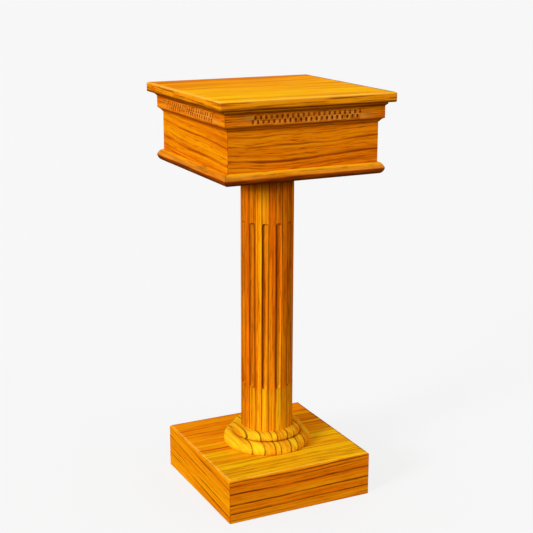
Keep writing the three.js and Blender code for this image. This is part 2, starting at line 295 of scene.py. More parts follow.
def board_numbers(shader, hidden):
    """A board's place (along the grain, across it and into it), then its seed, shade and gold. A
    hidden board is as it was packed, with no such attributes, so its place is on its own axes."""
    if not hidden:
        return shader.attribute("board") + shader.attribute("timber")
    axes = shader.parts(shader.node("TexCoord", None, None, "Object"))
    return axes + [HIDDEN_SEED, 0.0, 0.0]


def growth_rings(shader, own, layer, slow, seed, rings):
    """Growth rings: each darkens slowly and ends in a thin dark line."""
    spacing, strength = rings
    ring = (layer / (spacing * MM) + slow * 2.5 + seed * 7) % 1.0
    darkening = [(0.0, 0.9), (0.07, 0.35), (0.3, 0.0), (0.72, 0.12), (0.93, 0.55), (1.0, 0.9)]
    ring = shader.ramp(ring, darkening)
    patches = shader.noise(own, (5.0, 26.0, 26.0), 2.0)
    patches = shader.ramp(patches, [(0.36, 0.15), (0.6, 1.0)])
    return ring * patches * strength


def fine_figure(shader, along, layer, depth, seed, breadth):
    """Figure along the grain: broad bands, bands a few millimetres wide, hair lines, short dark
    flecks and open pores."""
    grain = shader.joined(along, layer + seed * 2.3, depth + seed)
    broad = shader.noise(grain, (1.6, 34.0, 12.0), 2.0)
    bands = shader.noise(grain, (2.4, 120.0 / breadth, 30.0), 3.0, 0.6)
    hairs = shader.noise(grain, (7.0, 420.0 / breadth, 120.0), 3.0, 0.65)
    short = shader.noise(grain, (24.0, 330.0 / breadth, 90.0), 2.0)
    short = shader.ramp(short, [(0.53, 0.0), (0.68, 1.0)])
    pores = shader.noise(grain, (70.0, 2300.0, 900.0), 1.0)
    pores = shader.ramp(pores, [(0.60, 0.0), (0.72, 1.0)])
    pores = pores * shader.ramp(bands, [(0.42, 1.0), (0.56, 0.15)])
    return broad, bands, hairs, short, pores


def streaked(shader, along, across, depth, seed, shaded_flank):
    """The colour of a board's sides that don't look up, painted shade against its lit top, streaked along
    its length.
    """
    edge_shade, streak_stain = shaded_flank
    streak = shader.noise(shader.joined(along + across, depth, seed), (11.0, 300.0, 1.0), 3.0)
    streak = shader.ramp(streak, [(0.46, 0.0), (0.62, 0.75)])
    return shader.blend(streak, edge_shade, streak_stain)


def grain_lines(shader, layer, lines, span):
    """1 on each strong grain line and 0 between them. A line is (place in mm, strength, half width
    in mm), and span is where the lines start and end, in mm."""
    low, high = span
    stops = [(0.0, 0.0)]
    for place, strength, half_width in sorted(lines):
        middle = (place - low) / (high - low)
        spread = half_width / (high - low)
        stops += [(middle - spread, 0.0), (middle, strength), (middle + spread, 0.0)]
    return shader.ramp((layer - low * MM) / ((high - low) * MM), stops, "EASE")


def joints_and_painted_light(shader, colour, joint, painted_shade, fade):
    """The colour with dark glue lines, painted shade in recesses, creases and shadows, and painted
    highlights on edges that catch the light.
    """
    left, right, painted_shading = shader.attribute("seams")
    strength, half_width = joint
    seam = shader.ramp(left.least(right) / (half_width * MM), [(0.25, strength), (1.0, 0.0)], "EASE")
    colour = shader.blend(seam * fade, colour, SEAM)
    # Painted shade: darker where the shading attribute is above 0.
    colour = shader.blend((painted_shading * 0.75).clamped(), colour, painted_shade)
    # Painted highlight: paler where the shading attribute is below 0.
    highlight_strength = (painted_shading * -1.0).clamped() * fade
    return shader.blend(highlight_strength * 0.7, colour, PAINTED_HIGHLIGHT)


def oak(name, pale, amber, dark, lines=(), span=(0, 1), painted_shade=None, shaded_flank=None, lean=0.0, wander=6.0,
        rings=(14, 0.3), breadth=1.0, figure=1.0, flecks=0.4, joint=(0.5, 1.1), drift=0.0, foot=0.0,
        roughness=0.5, hidden=False):
    """Varnished oak. pale, amber and dark are its stains, and grime the colour of its painted shade
    in recesses, creases and shadows. lines are its strong grain lines across span (lowest and highest
    place in mm). flank is the colour of faces that don't look up, painted shade against the lit top,
    with the stain of the streaks there. lean is the grain's rise in mm for each metre along the
    board, wander how far in mm it strays, rings the spacing in mm and the strength of its growth
    rings, breadth how much wider its figure is than on a narrow board, figure the strength of that
    figure, flecks the strength of its short dark flecks, joint the strength of the dark line at its
    joints and its half width in mm, drift how much yellower it gets for each metre towards the front,
    and foot how much yellower it is under the flutes. Boards carry their own place, shade, seed and
    joints, with their painted shade and painted highlights, as attributes, unless they are hidden."""
    material, shader = new_material(name)
    along, across, depth, seed, shade, gold = board_numbers(shader, hidden)
    facing = shader.parts(shader.node("NewGeometry", None, None, "Normal"))[2]
    # Painted shade: faces that look down get darker.
    under = shader.ramp((facing + 1.0) / 2.0, [(0.15, 1.0), (0.45, 0.0)])

    # The growth layers lie across the board, lean a little in its thickness and stray along it. The
    # seed moves each board to wood of its own.
    own = shader.joined(along, across + seed * 3.7, depth + seed * 1.9)
    slow = shader.noise(own, (3.1, 5.0, 5.0), 1.0)
    quick = shader.noise(own, (14.0, 22.0, 22.0), 2.0)
    layer = across + depth * 0.35 + along * (lean * MM)
    layer = layer + (slow - 0.5) * (4 * wander * MM) + (quick - 0.5) * (0.8 * wander * MM)
    fade = shader.noise(own, (9.0, 60.0, 60.0), 2.0)
    fade = shader.ramp(fade, [(0.34, 0.3), (0.56, 1.0)])
    ring = growth_rings(shader, own, layer, slow, seed, rings)
    broad, bands, hairs, short, pores = fine_figure(shader, along, layer, depth, seed, breadth)

    tint = (bands - 0.5) * 2.6 + (broad - 0.5) * 1.8 + 0.5 + gold - across * drift
    if foot:
        tint = tint + shader.ramp(along, [(FLUTE_FOOT - 9 * MM, foot), (FLUTE_FOOT + 5 * MM, 0.0)])
    colour = shader.blend(tint.clamped(), amber, pale)
    # Faces that don't look up take a darker colour: painted shade, with streaks of the grain.
    if shaded_flank:
        upward = shader.ramp(facing, [(0.15, 0.0), (0.85, 1.0)])
        colour = shader.blend(1.0 - upward, colour, streaked(shader, along, across, depth, seed, shaded_flank))
    lit = 1.0 + shade + (hairs - 0.5) * (1.1 * figure) + (bands - 0.5) * (0.9 * figure)
    lit = lit + (broad - 0.5) * (0.5 * figure)
    colour = shader.bright(colour, lit)
    colour = shader.blend((ring + short * flecks).clamped(), colour, dark)
    relief = hairs * 0.35 - pores * 0.8 - ring * 0.3 - short * (0.5 * flecks)
    if lines:
        line = grain_lines(shader, layer, lines, span) * fade
        colour = shader.blend(line, colour, dark)
        relief = relief - line * 0.4
    colour = shader.blend(pores * 0.35, colour, dark)
    # Painted shade on faces that look down.
    colour = shader.blend(under * 0.4, colour, dark)
    if not hidden:
        # Dark joints, painted shade and painted highlights from the board's attributes.
        colour = joints_and_painted_light(shader, colour, joint, painted_shade or dark, fade)

    bump = {"Strength": 0.35, "Distance": GRAIN_RELIEF, "Height": relief}
    shader.finish({
        "Base Color": shader.capped(colour, BRIGHTEST),
        "Roughness": (bands - 0.5) * 0.12 + pores * 0.18 + roughness,
        "Normal": shader.node("Bump", None, bump),
        "Specular IOR Level": VARNISH_SPECULAR,
    })
    return material


def zinc(name):
    """Zinc-plated steel, a little mottled."""
    material, shader = new_material(name)
    place = shader.node("TexCoord", None, None, "Object")
    cloud = shader.noise(place, (90.0, 90.0, 90.0), 3.0)
    brushed = shader.noise(place, (1500.0, 1500.0, 60.0), 2.0)
    bump = {"Strength": 0.2, "Distance": 0.1 * MM, "Height": brushed}
    shader.finish({
        "Base Color": shader.blend(cloud, stain(150, 152, 156), stain(206, 207, 208)),
        "Metallic": 1.0,
        "Roughness": 0.28 + cloud * 0.2,
        "Normal": shader.node("Bump", None, bump),
    })
    return material


FINISHES = {
    # Its edges take a darker colour with streaks: painted shade against the lit top.
    "top": oak(
        "oak_top", stain(255, 188, 4), stain(242, 146, 3), stain(218, 106, 4),
        [(168, 0.8, 50), (96, 0.45, 26), (22, 0.35, 20), (-70, 0.3, 16)], (-202, 240), painted_shade=BARK,
        shaded_flank=(stain(255, 154, 12), stain(120, 38, 5)), wander=8, rings=(40, 0.2), breadth=4,
        figure=0.45, flecks=0.15, drift=2.0),
    "crown": oak(
        "oak_crown", stain(255, 146, 6), stain(244, 112, 3), BARK, wander=3, rings=(4.5, 0.55),
        figure=1.6, flecks=0.5, joint=(0.6, 1.1)),
    # The front and back take a redder, darker finish than the left and right: each has its own grain lines,
    # and the darker tone is painted shade where less light falls.
    "box_front_shaded": oak(
        "oak_box_front", stain(255, 142, 6), stain(236, 114, 3), UMBER,
        [(839, 0.7, 2.2), (819, 0.9, 3.4), (790, 0.9, 5), (771, 0.4, 2.4)], (742, 894),
        wander=7, rings=(8, 0.4), figure=1.2, flecks=0.5),
    "box_left_lit": oak(
        "oak_box_left", stain(255, 154, 6), stain(246, 126, 4), stain(170, 66, 3),
        [(826, 0.9, 2.4), (791, 0.9, 6), (774, 0.6, 1.6), (766, 0.6, 1.5)], (742, 894),
        lean=40, wander=4, rings=(11, 0.35), figure=0.9, flecks=0.45),
    # Its faces that don't look up take a darker colour with streaks: painted shade.
    "trim": oak(
        "oak_trim", stain(255, 172, 8), stain(248, 142, 4), BARK, shaded_flank=(stain(232, 108, 4), UMBER),
        wander=2, rings=(7, 0.35), figure=0.9, joint=(0.6, 1.1)),
    "stave": oak(
        "oak_stave", stain(255, 168, 14), stain(255, 122, 8), BARK, wander=3, rings=(6, 0.3),
        figure=1.5, joint=(0.85, 1.4), foot=0.35),
    # The collar's wide, soft darkening at its joints is painted shade of rounded block edges, over dark
    # glue lines.
    "collar": oak(
        "oak_collar", stain(255, 190, 26), stain(255, 148, 12), UMBER, wander=3, rings=(9, 0.2),
        flecks=0.15, joint=(0.8, 2.2)),
    # Its edges take a darker colour with streaks: painted shade against the lit top.
    "plinth_top": oak(
        "oak_plinth_top", stain(255, 184, 12), stain(252, 138, 5), stain(160, 66, 4),
        [(121, 0.8, 4.5), (95, 0.8, 4.5), (60, 0.7, 4), (-2, 0.8, 5), (-44, 0.7, 4.5), (-75, 0.65, 3.6),
         (-91, 0.7, 3.2), (-116, 0.65, 2.8), (-133, 0.6, 2.6), (-148, 0.5, 2.4)], (-174, 174),
        painted_shade=BARK, shaded_flank=(stain(250, 128, 6), UMBER), wander=4, rings=(15, 0.5), breadth=2.2,
        figure=0.9, flecks=0.25, drift=5.0),
    # The front and back take a redder, darker finish than the left and right: each has its own grain lines,
    # and the darker tone is painted shade where less light falls.
    "plinth_front_shaded": oak(
        "oak_plinth_front", stain(255, 148, 8), stain(255, 124, 5), stain(88, 32, 3),
        [(95, 0.95, 2.6), (86, 0.6, 2.2), (68, 1, 3), (42.5, 1, 3), (22, 0.9, 2.6), (7, 0.9, 2.8)],
        (0, 101), wander=3.5, rings=(9, 0.35), flecks=0.3),
    "plinth_left_lit": oak(
        "oak_plinth_left", stain(255, 166, 8), stain(255, 140, 5), stain(120, 46, 3),
        [(86, 1, 2.8), (64, 1, 2.8), (40, 1, 2.8), (23, 0.9, 2.6)], (0, 101),
        lean=44, wander=3, rings=(11, 0.3), figure=0.9, flecks=0.2),
    "inside": oak("oak_inside", stain(246, 138, 4), stain(230, 108, 3), UMBER, roughness=0.6, hidden=True),
    "steel": zinc("zinc_steel"),
}

# ---- Mesh writing -------------------------------------------------------------------------------

shades = random.Random(26)


def timber(shade=0.0, gold=0.0):
    """A board's own seed, how much lighter it is than its finish, and how much yellower."""
    return (shades.random(), shade, gold)


def turned_about_z(point, angle):
    x, y, z = point
    cosine = math.cos(angle)
    sine = math.sin(angle)
    return (x * cosine - y * sine, x * sine + y * cosine, z)


def add_places(mesh, name, vectors):
    made = mesh.attributes.new(name, "FLOAT_VECTOR", "POINT")
    made.data.foreach_set("vector", [value for vector in vectors for value in vector])


def ease_edges(made, width):
    bevel = made.modifiers.new("eased_edges", "BEVEL")
    bevel.width = width
    bevel.segments = 2
    bevel.limit_method = "ANGLE"
    bevel.angle_limit = SHARP
    bevel.harden_normals = True


def piece(name, points, faces, boards, seams, finish, character, nodes, turn=0.0, ease=0.0):
    """A wooden piece from points and faces. boards holds each point's place in its own board:
    along the grain, across it and into it. seams holds its distances to the joints on the piece's
    left and right, and its painted shading there: painted shade above 0, painted highlight below 0.
    character is what timber gives. The piece stands for nodes and rides on the stand."""
    mesh = bpy.data.meshes.new(name)
    mesh.from_pydata([turned_about_z(p, turn) for p in points], [], faces)
    add_places(mesh, "board", boards)
    # Distances to the joints, with the painted shade and painted highlights.
    add_places(mesh, "seams", seams)
    add_places(mesh, "timber", [character] * len(points))
    sewn = bmesh.new()
    sewn.from_mesh(mesh)
    bmesh.ops.remove_doubles(sewn, verts=sewn.verts, dist=SAME_POINT)
    bmesh.ops.dissolve_degenerate(sewn, edges=sewn.edges, dist=SAME_POINT)
    bmesh.ops.recalc_face_normals(sewn, faces=sewn.faces)
    sewn.to_mesh(mesh)
    sewn.free()
    mesh.materials.append(FINISHES[finish])
    mesh.shade_smooth()
    mesh.set_sharp_from_angle(angle=SHARP)
    made = bpy.data.objects.new(name, mesh)
    bpy.context.scene.collection.objects.link(made)
    if ease:
        ease_edges(made, ease)
    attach(made, "root")
    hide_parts(*nodes)


def quarter(centre, radii, start, end, steps):
    """Points on an arc of an ellipse, between two angles in degrees."""
    made = []
    for i in range(steps + 1):
        angle = math.radians(start + (end - start) * i / steps)
        made.append((centre[0] + radii[0] * math.cos(angle), centre[1] + radii[1] * math.sin(angle)))
    return made


def bowed(start, end, corner, bow):
    """Points on a shallow curve that leans towards a corner: a bow of 0 is a straight line."""
    control = [(s + e) / 2 + bow * (c - (s + e) / 2) for s, e, c in zip(start, end, corner)]
    made = []
    for i in range(BOW_STEPS + 1):
        t = i / BOW_STEPS
        point = [(1 - t) ** 2 * s + 2 * t * (1 - t) * k + t * t * e for s, k, e in zip(start, control, end)]
        made.append(tuple(point))
    return made


def tube(rings):
    """Faces of a closed tube over rings of equal length, with its two ends."""
    count = len(rings[0])
    faces = []
    for i in range(len(rings) - 1):
        for j in range(count):
            k = (j + 1) % count
            faces.append((i * count + j, i * count + k, (i + 1) * count + k, (i + 1) * count + j))
    last = (len(rings) - 1) * count
    faces.append(tuple(range(count))[::-1])
    faces.append(tuple(last + j for j in range(count)))
    return faces


# ---- Top board and plinth top -------------------------------------------------------------------


def rounded_square(half, corner, steps):
    """Points round a square with rounded corners: (x, y, worn). worn is 1 where the edge faces the
    front or the left, for a painted highlight there, and -1 where it faces the back or the right,
    for a dark line there."""
    made = []
    centre = half - corner
    for turn, (sx, sy) in enumerate(((1, 1), (-1, 1), (-1, -1), (1, -1))):
        start = 90 * turn
        arc = quarter((sx * centre, sy * centre), (corner, corner), start, start + 90, steps)
        for i, (x, y) in enumerate(arc):
            angle = math.radians(start + 90 * i / steps)
            made.append((x, y, max(-1, min(1, -math.cos(angle) - math.sin(angle)))))
    return made


def make_slab(name, node, finish, character, face, corner, layers, steps):
    """A square board built up in layers, each (inset, height, how strongly the painted highlight of
    the front and left edges and the dark line of the back and right ones show there, and the
    painted shade there)."""
    rings, boards, seams = [], [], []
    for inset, height, share, painted_shading in layers:
        ring = rounded_square(face - inset, max(corner - inset, LEAST_CORNER), steps)
        rings.append([(x, y, height) for x, y, _ in ring])
        boards += [(x, y, height - layers[-1][1]) for x, y, _ in ring]
        seams += [(FAR, FAR, painted_shading - highlight_side * share) for _, _, highlight_side in ring]
    points = [point for ring in rings for point in ring]
    piece(name, points, tube(rings), boards, seams, finish, character, [node])


def make_top_board():
    radii = (TOP_EASE, TOP_EASE)
    lower = quarter((TOP_EASE, top_low.z + TOP_EASE), radii, 270, 180, TOP_EASE_STEPS)
    upper = quarter((TOP_EASE, top_high.z - TOP_EASE), radii, 180, 90, TOP_EASE_STEPS)
    # Painted shade on the board's lower edge, where it hangs over the crown.
    layers = [(inset, height, 0.0, 1.0) for inset, height in lower]
    layers.append((0.0, top_low.z + TOP_EASE + TOP_SHADE_REACH, 0.0, 0.0))
    layers.append((0.0, top_high.z - TOP_EASE - TOP_HIGHLIGHT_REACH, 0.0, 0.0))
    # A painted highlight on the upper edge at the front and left, reaching a little onto the top, and a
    # dark line there at the back and right.
    for (inset, height), share in zip(upper, (0.5, 0.8, 1.0, 1.1, 1.2, 1.2, 1.2)):
        layers.append((inset, height, share, 0.0))
    layers.append((TOP_EASE + HIGHLIGHT_BAND, top_high.z, 0.9, 0.0))
    layers.append((TOP_EASE + 2 * HIGHLIGHT_BAND, top_high.z, 0.0, 0.0))
    make_slab("oak_top_board", "top_board", "top", timber(), TOP_HALF, TOP_CORNER, layers, 10)


def make_plinth_top():
    """The plinth's top board, mitred to the sides below, with a painted highlight on its upper arris at the
    front and left and a dark line there at the back and right.
    """
    layers = [
        (PLINTH_BOARD, PLINTH_TOP - PLINTH_BOARD, 0.0, 0.0),
        # Painted highlight on the upper arris at the front and left, and a dark line at the back and right.
        (PLINTH_EASE / 2, PLINTH_TOP - PLINTH_EASE / 2, 0.6, 0.0),
        (PLINTH_EASE * 0.9, PLINTH_TOP - PLINTH_EASE * 0.1, 0.8, 0.0),
        (PLINTH_EASE * 1.1, PLINTH_TOP - PLINTH_EASE * 0.02, 0.8, 0.0),
        (PLINTH_EASE * 1.3, PLINTH_TOP, 0.7, 0.0),
        (PLINTH_EASE + HIGHLIGHT_BAND, PLINTH_TOP, 0.3, 0.0),
        (PLINTH_EASE + 2 * HIGHLIGHT_BAND, PLINTH_TOP, 0.0, 0.0),
    ]
    make_slab("oak_plinth_top", "plinth_top", "plinth_top", timber(0.05, 0.0),
              PLINTH_FACE, PLINTH_CORNER, layers, 3)


# ---- Rails that run round the stand and meet in mitres ------------------------------------------


def make_rails(prefix, profile, face, finishes, characters, node, ease):
    """Four rails from one closed profile of (distance from the middle, height, painted shade, which is a
    painted highlight below 0).
    """
    for i, side in enumerate(SIDES):
        points, boards, seams = [], [], []
        for end in (-1, 1):
            for distance, height, painted_shading in profile:
                gap = GLUE_LINE if distance > face - MITRE_FACE else CLOSED_JOINT
                x = end * (distance - gap)
                points.append((x, -distance, height))
                boards.append((x, height, distance - face))
                seams.append((distance + x, distance - x, painted_shading))
        rings = [points[: len(profile)], points[len(profile) :]]
        piece(f"{prefix}_{side}", points, tube(rings), boards, seams, finishes[i], characters[i],
              [f"{node}_{side}"], i * math.pi / 2, ease)


def make_box():
    profile = [
        (BOX_FACE - BOX_BOARD, side_low.z, 0.0),
        (BOX_FACE, side_low.z, 0.0),
        # Painted shade on the box in the crease above the trim and in the shadow under the crown.
        (BOX_FACE, trim_high.z, 0.35),
        (BOX_FACE, trim_high.z + TRIM_SHADE, 0.0),
        (BOX_FACE, crown_low.z - CROWN_SHADOW, 0.0),
        (BOX_FACE, crown_low.z, 0.6),
        (BOX_FACE, side_high.z, 0.0),
        (BOX_FACE - BOX_BOARD, side_high.z, 0.0),
    ]
    finishes = ("box_front_shaded", "box_left_lit", "box_front_shaded", "box_left_lit")
    characters = [timber() for _ in SIDES]
    make_rails("oak_box_side", profile, BOX_FACE, finishes, characters, "box_side", BOX_EASE)


def make_trim():
    """The box's lower moulding: from below, an ovolo, a nose, a slope that sheds dust and a ledge."""
    back = BOX_FACE + GLUE_LINE
    nose = BOX_FACE + TRIM_PROJECTION
    shoulder = BOX_FACE + TRIM_SHOULDER
    bottom, top = trim_low.z, trim_high.z
    nose_bottom = bottom + TRIM_OVOLO_HEIGHT
    nose_top = nose_bottom + TRIM_NOSE_HEIGHT
    slope_top = nose_top + TRIM_SLOPE_HEIGHT
    ovolo = bowed((BOX_FACE + TRIM_FOOT, bottom), (nose, nose_bottom), (nose, bottom), TRIM_OVOLO_BOW)
    slope = bowed((nose, nose_top), (shoulder, slope_top), (nose, slope_top), TRIM_SLOPE_BOW)
    # Painted shade under the ovolo and in the creases against the box, and a painted highlight on the slope
    # that faces up.
    profile = [(back, bottom, 1.1)]
    profile += [(x, height, 1.1 - 0.6 * i / len(ovolo)) for i, (x, height) in enumerate(ovolo)]
    profile += [(x, height, 0.2 * i / len(slope) - 0.35) for i, (x, height) in enumerate(slope)]
    profile += [(BOX_FACE + MOULDING_LIP, top, 0.2), (back, top, 0.6)]
    characters = [timber(-0.02, 0.0), timber(), timber(), timber(-0.06, -0.25)]
    make_rails("oak_trim", profile, BOX_FACE, ["trim"] * 4, characters, "box_trim", TRIM_EASE)


def make_plinth_sides():
    inner = PLINTH_FACE - PLINTH_BOARD
    half_ease = (PLINTH_EASE - GLUE_LINE) / 2
    profile = [
        (inner, 0.0, 0.0),
        # Painted shade just above the floor.
        (PLINTH_FACE, 0.0, 0.3),
        (PLINTH_FACE, PLINTH_SHADE, 0.0),
        (PLINTH_FACE, PLINTH_TOP - PLINTH_EASE, 0.0),
        (PLINTH_FACE - half_ease, PLINTH_TOP - (PLINTH_EASE + GLUE_LINE) / 2, 0.0),
        (inner, foot_high.z - PLINTH_BOARD + half_ease, 0.0),
    ]
    finishes = ("plinth_front_shaded", "plinth_left_lit", "plinth_front_shaded", "plinth_left_lit")
    characters = [timber() for _ in SIDES]
    make_rails("oak_plinth_side", profile, PLINTH_FACE, finishes, characters,
               "plinth_side", PLINTH_SIDE_EASE)


def crown_rows():
    """The crown's closed profile as rows of (distance, height), and which of its strips hold the
    lower and the upper row of dentils."""
    bottom, top = crown_low.z, crown_high.z
    back = BOX_FACE + GLUE_LINE
    lip = BOX_FACE + MOULDING_LIP
    fillet = CROWN_FASCIA + FILLET_PROJECTION
    fascia_bottom = bottom + COVE_HEIGHT
    fascia_top = top - FILLET_HEIGHT - FILLET_PROJECTION
    middle = (fascia_bottom + fascia_top) / 2
    rows = [(back, top), (back, bottom)]
    rows += bowed((lip, bottom), (CROWN_FASCIA, fascia_bottom), (lip, fascia_bottom), COVE_BOW)
    half_space = DENTIL_ROW_SPACE / 2
    strips = []
    for low in (middle - half_space - DENTIL_HEIGHT, middle + half_space):
        strips.append(len(rows))
        rows += [(CROWN_FASCIA, low), (CROWN_FASCIA, low + DENTIL_HEIGHT)]
    rows += [(CROWN_FASCIA, fascia_top), (fillet, top - FILLET_HEIGHT), (fillet, top)]
    return rows, strips


def dentil_spaces(strips):
    """The sunk spaces between dentils in each strip, as (left, right), half a pitch apart."""
    count = math.floor((2 * (CROWN_FASCIA - DENTIL_END_BLOCK) - DENTIL_PITCH) / DENTIL_PITCH)
    spaces = {}
    for strip, shift in zip(strips, (-0.25, 0.25)):
        middles = [(i - (count - 1) / 2 + shift) * DENTIL_PITCH for i in range(count)]
        spaces[strip] = [(x - DENTIL_GAP / 2, x + DENTIL_GAP / 2) for x in middles]
    return spaces


def make_crown():
    rows, strips = crown_rows()
    spaces = dentil_spaces(strips)
    stops = sorted({round(x, 7) for row in spaces.values() for pair in row for x in pair})
    columns = [None] + stops + [None]  # the two ends follow the mitre
    points, boards, seams, faces, known = [], [], [], [], {}
    shading_draws = random.Random(7)
    cove_end = strips[0] - 1
    row_shade = [0.1] * len(rows)  # the painted shade on each row
    # Painted shade where the cove meets the box, at the cove's top under the fascia, and under the fillet.
    row_shade[1] = row_shade[2] = 0.8
    row_shade[cove_end] = row_shade[cove_end - 1] = 0.7
    row_shade[-3] = 0.6

    def sunk(strip, column):
        if strip not in spaces or not 1 <= column < len(columns) - 2:
            return False
        middle = (columns[column] + columns[column + 1]) / 2
        return any(left < middle < right for left, right in spaces[strip])

    def painted_shading_at(row, column, deep):
        # Painted shade in the sunk spaces between dentils and painted highlights on the dentils, at random
        # strengths.
        if deep:
            return shading_draws.uniform(0.2, 1.0)
        if any(strip <= row <= strip + 1 for strip in strips) and 0 < column < len(columns) - 1:
            return -shading_draws.uniform(0.0, 1.0)
        return row_shade[row]

    def corner(row, column, deep):
        row %= len(rows)
        key = (row, column, deep)
        if key not in known:
            distance, height = rows[row]
            x = columns[column]
            if x is None:
                x = (distance - GLUE_LINE) * (-1 if column == 0 else 1)
            seams.append((distance + x, distance - x, painted_shading_at(row, column, deep)))
            distance -= DENTIL_DEPTH if deep else 0
            known[key] = len(points)
            points.append((x, -distance, height))
            boards.append((x, height, distance - BOX_FACE))
        return known[key]

    def wall(first, second):
        face = [corner(*first, False), corner(*second, False), corner(*second, True), corner(*first, True)]
        faces.append(face)

    for row in range(len(rows)):
        for column in range(len(columns) - 1):
            deep = sunk(row, column)
            faces.append([corner(row + r, column + c, deep) for r, c in ((0, 0), (1, 0), (1, 1), (0, 1))])
            if deep:
                for r in (0, 1):
                    wall((row + r, column), (row + r, column + 1))
                for c, beside in ((0, column - 1), (1, column + 1)):
                    if not sunk(row, beside):
                        wall((row, column + c), (row + 1, column + c))
    for column in (0, len(columns) - 1):
        faces.append([corner(row, column, False) for row in range(len(rows))])
    for i, side in enumerate(SIDES):
        piece(f"oak_crown_{side}", points, faces, boards, seams, "crown", timber(),
              [f"crown_moulding_{side}"], i * math.pi / 2, CROWN_EASE)


# ---- Column -------------------------------------------------------------------------------------

# Shade and gold of the staves that face the front and left, by their angle from the front; the
# others draw theirs at random. The shades are partly each stave's own tone and partly painted
# shade, darker towards the far left and right staves.
STAVE_CHARACTERS = {
    -105: (-0.16, -0.3), -90: (-0.16, -0.2), -75: (-0.12, -0.4), -60: (-0.04, 0.0), -45: (0.02, -0.05),
    -30: (0.0, -0.1), -15: (0.04, -0.3), 0: (0.16, -0.1), 15: (0.08, -0.2), 30: (0.0, -0.2),
    45: (-0.04, -0.3), 60: (-0.08, -0.4), 75: (0.0, -0.2),
}


def stave_levels(fluted):
    """Heights of a stave's sections, close together at the round ends of a flute."""
    straight = FLUTE_HEAD - FLUTE_FOOT - 2 * FLUTE_HALF
    turns = [math.radians(90 * i / FLUTE_END_STEPS) for i in range(FLUTE_END_STEPS + 1)]
    steps = [FLUTE_HALF * (1 - math.cos(turn)) for turn in turns]
    levels = [PLINTH_TOP, PLINTH_TOP + 50 * MM, PLINTH_TOP + 100 * MM]
    if fluted:
        levels += [FLUTE_FOOT + step for step in steps]
        levels += [FLUTE_FOOT + FLUTE_HALF + straight * i / FLUTE_STEPS for i in range(1, FLUTE_STEPS)]
        levels += [FLUTE_HEAD - step for step in reversed(steps)]
    else:
        fluted_height = FLUTE_HEAD - FLUTE_FOOT
        levels += [FLUTE_FOOT + fluted_height * i / FLUTE_STEPS for i in range(FLUTE_STEPS + 1)]
    return levels + [FLUTE_HEAD + 40 * MM, COLUMN_HEAD - 54 * MM, COLUMN_HEAD - 30 * MM, COLUMN_HEAD]


def flute_section(height, turn):
    """Points (outwards, sideways, painted shade) across a flute, with painted shade darkest where its
    slope faces away from a light at the left front."""
    beyond = max(FLUTE_FOOT + FLUTE_HALF - height, height - (FLUTE_HEAD - FLUTE_HALF), 0)
    reach = math.sqrt(FLUTE_NOSE**2 - min(beyond, FLUTE_HALF) ** 2)
    x = (COLUMN_RADIUS**2 - reach**2 + FLUTE_AXIS**2) / (2 * FLUTE_AXIS)
    y = math.sqrt(max(COLUMN_RADIUS**2 - x**2, 0))
    opening = math.atan2(y, FLUTE_AXIS - x)
    made = []
    for i in range(STAVE_STEPS + 1):
        angle = opening * (2 * i / STAVE_STEPS - 1)
        # Painted shade on the walls that turn away from the light.
        shaded = max(math.cos(turn - PAINTED_LIGHT_FROM) - math.cos(turn - angle - PAINTED_LIGHT_FROM), 0)
        painted_shading = min(FLUTE_SHADE + FLUTE_SHADE_GAIN * shaded, FLUTE_SHADE_MOST)
        made.append((FLUTE_AXIS - reach * math.cos(angle), reach * math.sin(angle), painted_shading))
    return made


def outer_section(height, fluted, turn):
    """Points (outwards, sideways, painted shade) across a stave's outer face, without its eased edges."""
    edge = STAVE_EDGE - STAVE_EASE / COLUMN_RADIUS
    if fluted and FLUTE_FOOT <= height <= FLUTE_HEAD:
        inside = flute_section(height, turn)
    else:
        angles = [0.8 * edge * (2 * i / STAVE_STEPS - 1) for i in range(STAVE_STEPS + 1)]
        inside = [(COLUMN_RADIUS * math.cos(a), COLUMN_RADIUS * math.sin(a), 0.0) for a in angles]
    x, y = COLUMN_RADIUS * math.cos(edge), COLUMN_RADIUS * math.sin(edge)
    return [(x, -y, 0.0)] + inside + [(x, y, 0.0)]


def make_stave(name, node, turn, fluted, character):
    inner = COLUMN_RADIUS - STAVE_THICKNESS
    inner_half = inner * math.tan(STAVE_HALF_ANGLE) - GLUE_LINE / 2 / math.cos(STAVE_HALF_ANGLE)
    side_x = (COLUMN_RADIUS - STAVE_EASE) * math.cos(STAVE_EDGE)
    side_y = (COLUMN_RADIUS - STAVE_EASE) * math.sin(STAVE_EDGE)
    rings, boards, seams = [], [], []
    for height in stave_levels(fluted):
        ring = [(inner, -inner_half, 0.0), (side_x, -side_y, 0.0)]
        ring += outer_section(height, fluted, turn)
        ring += [(side_x, side_y, 0.0), (inner, inner_half, 0.0)]
        rings.append([(x, y, height) for x, y, _ in ring])
        # Painted shadow of the box on the column's head.
        head_shadow = HEAD_SHADOW - (COLUMN_HEAD - height) / HEAD_SHADOW_FADE
        for x, y, painted_shading in ring:
            radius, angle = math.hypot(x, y), math.atan2(y, x)
            to_left, to_right = radius * (STAVE_HALF_ANGLE + angle), radius * (STAVE_HALF_ANGLE - angle)
            boards.append((height, y, radius - COLUMN_RADIUS))
            seams.append((to_left, to_right, max(painted_shading, head_shadow)))
    points = [point for ring in rings for point in ring]
    piece(name, points, tube(rings), boards, seams, "stave", character, [node], turn)


